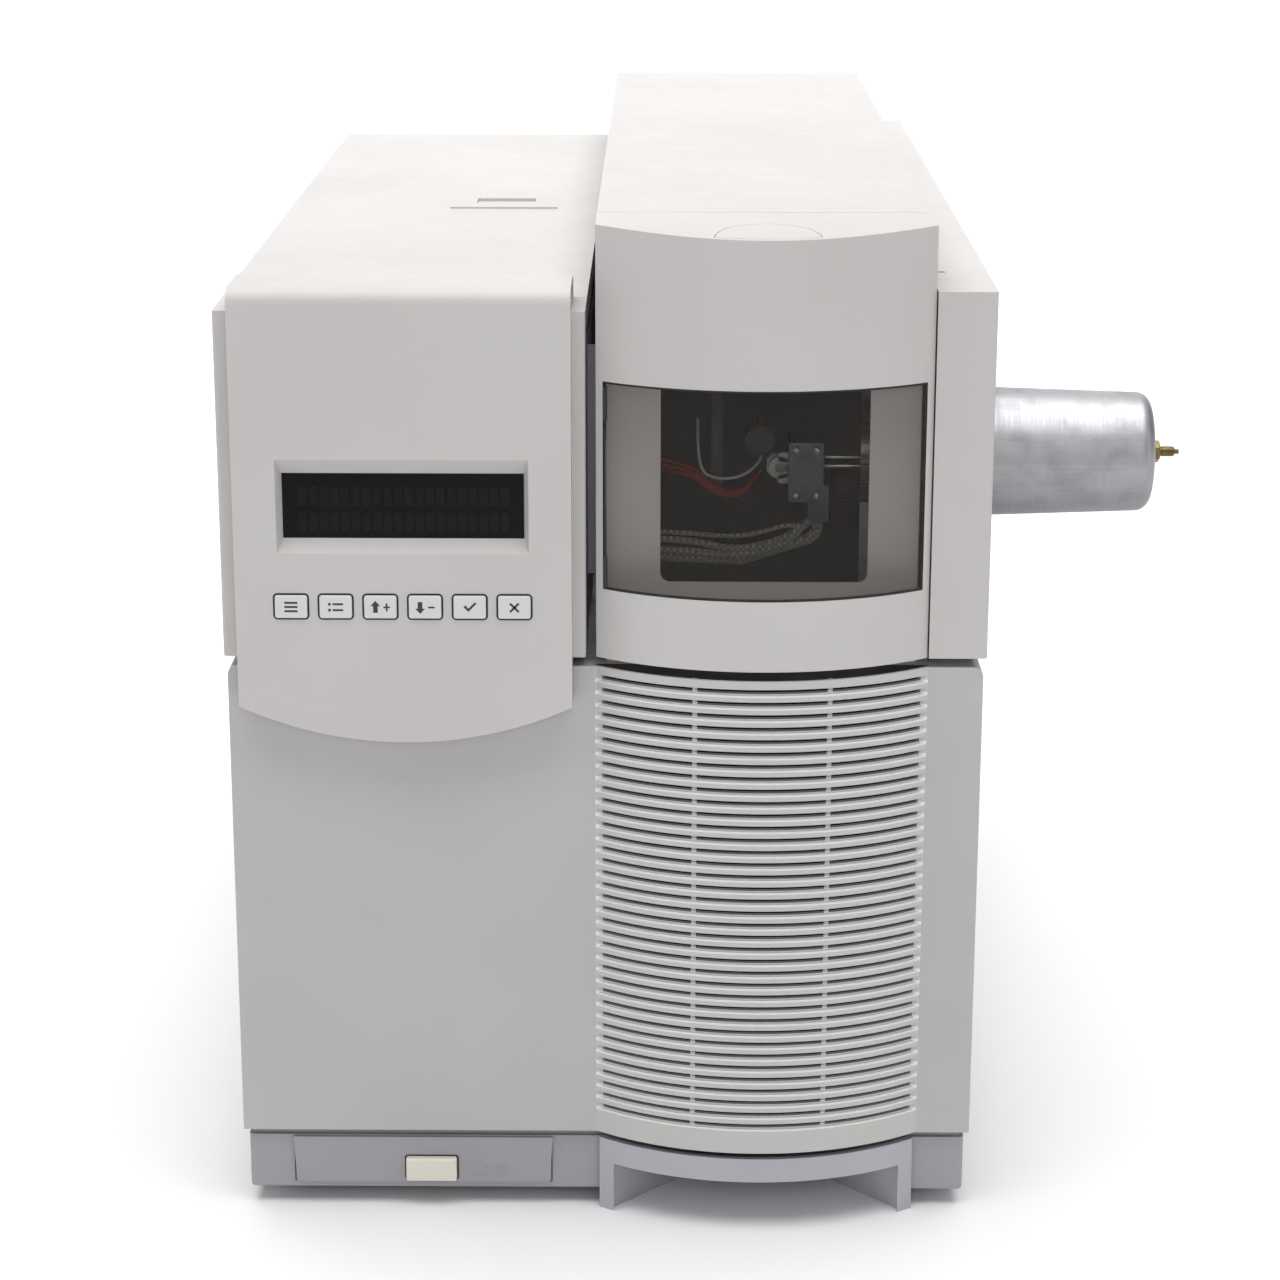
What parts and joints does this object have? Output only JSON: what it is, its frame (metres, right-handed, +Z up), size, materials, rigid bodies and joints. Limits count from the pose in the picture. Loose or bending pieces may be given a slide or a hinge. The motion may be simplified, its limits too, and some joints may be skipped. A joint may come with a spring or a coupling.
{
  "type": "mass spectrometer",
  "caption": "Bench-top mass spectrometer: grey moulded case, bow-fronted column with louvres and window, control panel with display, side transfer line.",
  "frame": {"origin": "middle of the base tray's underside; the rubber feet reach 7 mm below it, so the bench is at Z = -7 mm", "axes": "+X to the instrument's right, where the transfer line stands out; +Y to its back; +Z up; the control panel and louvres face -Y"},
  "size_m": [0.3904, 0.5944, 0.411],
  "materials": {
    "cover_plastic": "fine-textured moulded light grey",
    "plinth_grey": "textured mid grey moulding",
    "skirt_grey": "textured mid grey moulding",
    "key_plastic": "satin grey key caps",
    "beige_plastic": "satin beige",
    "black_plastic": "satin black",
    "white_plastic": "white machined plastic",
    "black_rubber": "matt black",
    "painted_sheet": "powder-coated light grey",
    "inner_grey": "painted light grey",
    "zinc_sheet": "zinc-plated sheet",
    "zinc_steel": "bright zinc",
    "stainless": "turned stainless steel",
    "aluminium_machined": "machined",
    "aluminium_spun": "drawn and satin brushed, lightly scuffed",
    "brass_turned": "turned, slightly dulled",
    "gold_quartz": "gold-plated rods",
    "circuit_board": "green solder mask",
    "lcd_module": "dark liquid-crystal glass",
    "smoked_lens": "dark gloss lens",
    "smoked_window": "smoke-tinted clear plastic",
    "braided_sleeve": "woven glass sleeve"
  },
  "bodies": {
    "chassis": {"base_tray": "plinth_grey", "rubber_feet": "black_rubber", "foot_screws": "zinc_steel", "front_skirt": "skirt_grey", "lower_cover": "cover_plastic", "left_side_panel": "painted_sheet", "right_side_panel": "painted_sheet", "deck": "zinc_sheet", "rear_panel": "zinc_sheet", "mains_inlet": "black_plastic", "network_socket": "black_plastic", "foreline_port": "aluminium_machined", "control_fascia": "cover_plastic", "display_lens": "smoked_lens", "display_module": "lcd_module", "control_board": "circuit_board", "left_upper_cover": "cover_plastic", "centre_wall": "zinc_sheet", "hinge_pins": "zinc_steel", "upper_rear_panel": "zinc_sheet", "hinge_brackets": "zinc_steel", "inner_frame": "inner_grey", "analyser_chamber": "aluminium_machined", "side_plate": "aluminium_machined", "thumbscrews": "zinc_steel", "chamber_feet": "aluminium_machined", "ion_source": "stainless", "mass_filter": "gold_quartz", "filter_brackets": "stainless", "detector": "stainless", "turbo_pump": "aluminium_machined", "fan_frame": "black_plastic", "fan_bracket": "zinc_sheet", "power_supply": "zinc_sheet", "main_board": "circuit_board", "driver_box": "zinc_sheet", "line_tube": "stainless", "line_cup": "aluminium_spun", "column_nut": "brass_turned", "column_fitting": "brass_turned", "calibration_valve": "white_plastic", "switch_panel": "plinth_grey", "power_switch": "black_plastic", "foreline_hose": "black_rubber", "heater_lead": "braided_sleeve", "purge_tube": "stainless", "rear_screws": "zinc_steel"},
    "analyser_cover": {"analyser_cover": "cover_plastic"},
    "window_cover": {"window_cover": "cover_plastic", "window_pane": "smoked_window"},
    "window_latch": {"window_latch": "cover_plastic"},
    "fan_rotor": {"fan_rotor": "black_plastic"},
    "vent_knob": {"vent_knob": "black_plastic"},
    "power_button": {"power_button": "beige_plastic"},
    "key_1": {"key_1": "key_plastic"},
    "key_2": {"key_2": "key_plastic"},
    "key_3": {"key_3": "key_plastic"},
    "key_4": {"key_4": "key_plastic"},
    "key_5": {"key_5": "key_plastic"},
    "key_6": {"key_6": "key_plastic"}
  },
  "joints": [
    {"name": "analyser_cover_hinge", "type": "hinge", "parent": "chassis", "child": "analyser_cover", "pos_m": [0.062, 0.264, 0.3], "axis": [-1, 0, 0], "range_deg": [0, 70]},
    {"name": "window_cover_lift_off", "type": "slide", "parent": "chassis", "child": "window_cover", "axis": [0, -1, 0], "range_m": [0, 0.06]},
    {"name": "window_latch_press", "type": "slide", "parent": "window_cover", "child": "window_latch", "axis": [0, 0, -1], "range_m": [0, 0.003], "stiffness_N_per_m": 900},
    {"name": "fan_spin", "type": "hinge", "parent": "chassis", "child": "fan_rotor", "pos_m": [0.062, -0.24, 0.118], "axis": [0, 1, 0], "continuous": true},
    {"name": "vent_knob_turn", "type": "hinge", "parent": "chassis", "child": "vent_knob", "pos_m": [0.0616, -0.219, 0.3095], "axis": [0, 1, 0], "range_deg": [0, 300]},
    {"name": "power_button_press", "type": "slide", "parent": "chassis", "child": "power_button", "axis": [0, 1, 0], "range_m": [0, 0.003], "stiffness_N_per_m": 600},
    {"name": "key_1_press", "type": "slide", "parent": "chassis", "child": "key_1", "axis": [0, 1, 0], "range_m": [0, 0.0015], "stiffness_N_per_m": 400},
    {"name": "key_2_press", "type": "slide", "parent": "chassis", "child": "key_2", "axis": [0, 1, 0], "range_m": [0, 0.0015], "stiffness_N_per_m": 400},
    {"name": "key_3_press", "type": "slide", "parent": "chassis", "child": "key_3", "axis": [0, 1, 0], "range_m": [0, 0.0015], "stiffness_N_per_m": 400},
    {"name": "key_4_press", "type": "slide", "parent": "chassis", "child": "key_4", "axis": [0, 1, 0], "range_m": [0, 0.0015], "stiffness_N_per_m": 400},
    {"name": "key_5_press", "type": "slide", "parent": "chassis", "child": "key_5", "axis": [0, 1, 0], "range_m": [0, 0.0015], "stiffness_N_per_m": 400},
    {"name": "key_6_press", "type": "slide", "parent": "chassis", "child": "key_6", "axis": [0, 1, 0], "range_m": [0, 0.0015], "stiffness_N_per_m": 400}
  ]
}
